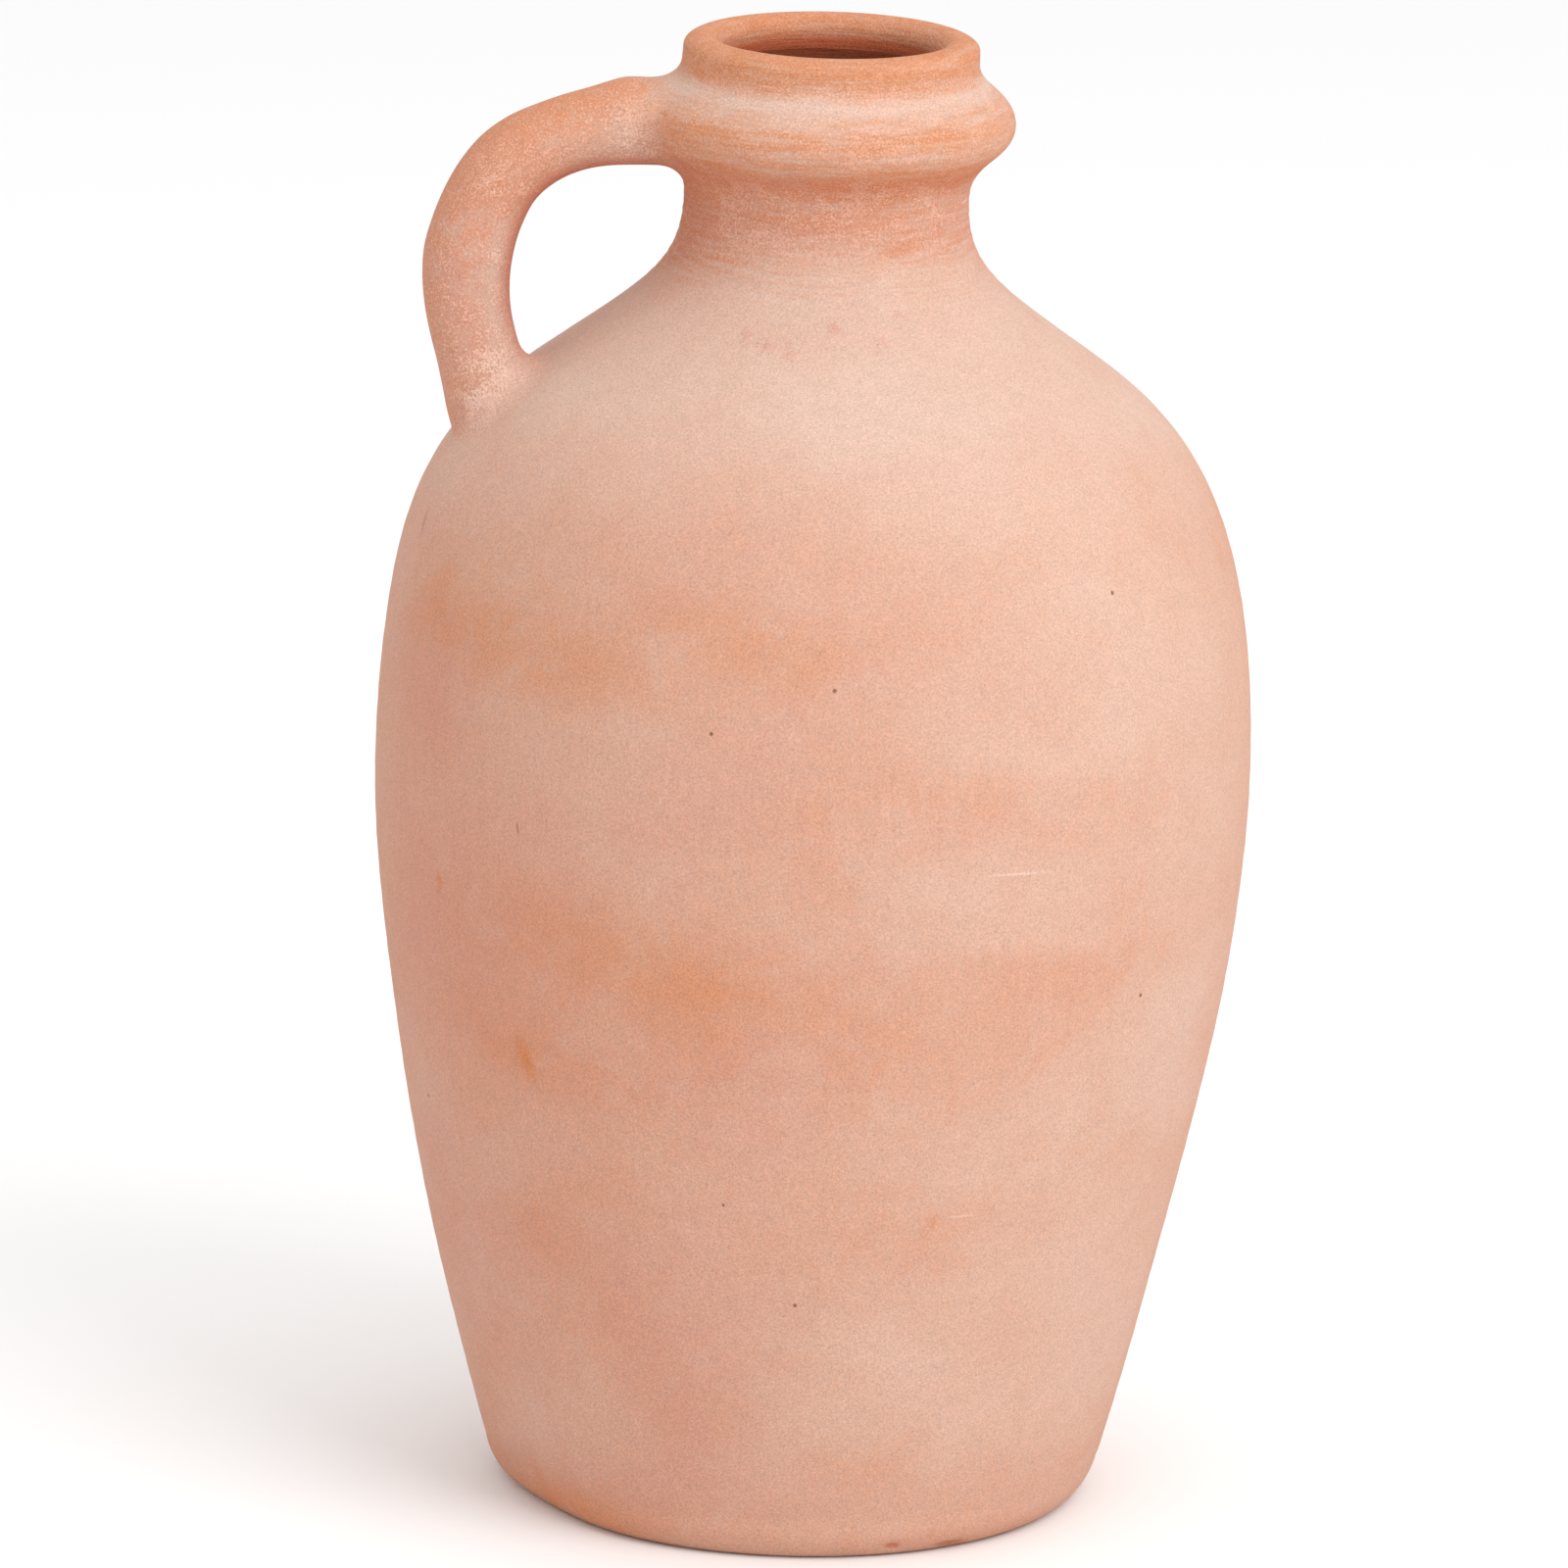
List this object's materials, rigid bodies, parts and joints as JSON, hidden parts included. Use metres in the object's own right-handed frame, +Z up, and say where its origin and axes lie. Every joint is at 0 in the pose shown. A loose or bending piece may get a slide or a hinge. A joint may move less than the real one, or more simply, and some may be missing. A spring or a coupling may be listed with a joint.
{
  "type": "pitcher",
  "caption": "Tall unglazed terracotta jug with a rounded belly, narrow collared neck, thick lip and looped handle from collar to shoulder.",
  "frame": {"origin": "centre of the foot, on the surface the jug stands on", "axes": "+Z up along the jug's turning axis; the handle points along -X; the XZ plane halves the handle"},
  "size_m": [0.2082, 0.2082, 0.35],
  "materials": {
    "body_clay": "matt, unglazed, fine sandy grain, pinkish peach",
    "rim_clay": "matt, unglazed, turned streaks, more orange",
    "handle_clay": "matt, unglazed, coarser sandy grain",
    "luting_clay": "matt, unglazed, pale smoothed clay"
  },
  "bodies": {
    "root": {"base_slab": "body_clay", "lower_wall": "body_clay", "belly_wall": "body_clay", "upper_belly_wall": "body_clay", "shoulder_wall": "body_clay", "shoulder_dome": "body_clay", "neck_tube": "body_clay", "collar_ring": "rim_clay", "lip_ring": "rim_clay", "handle": "handle_clay", "handle_upper_luting": "luting_clay", "handle_lower_luting": "luting_clay"}
  },
  "joints": []
}
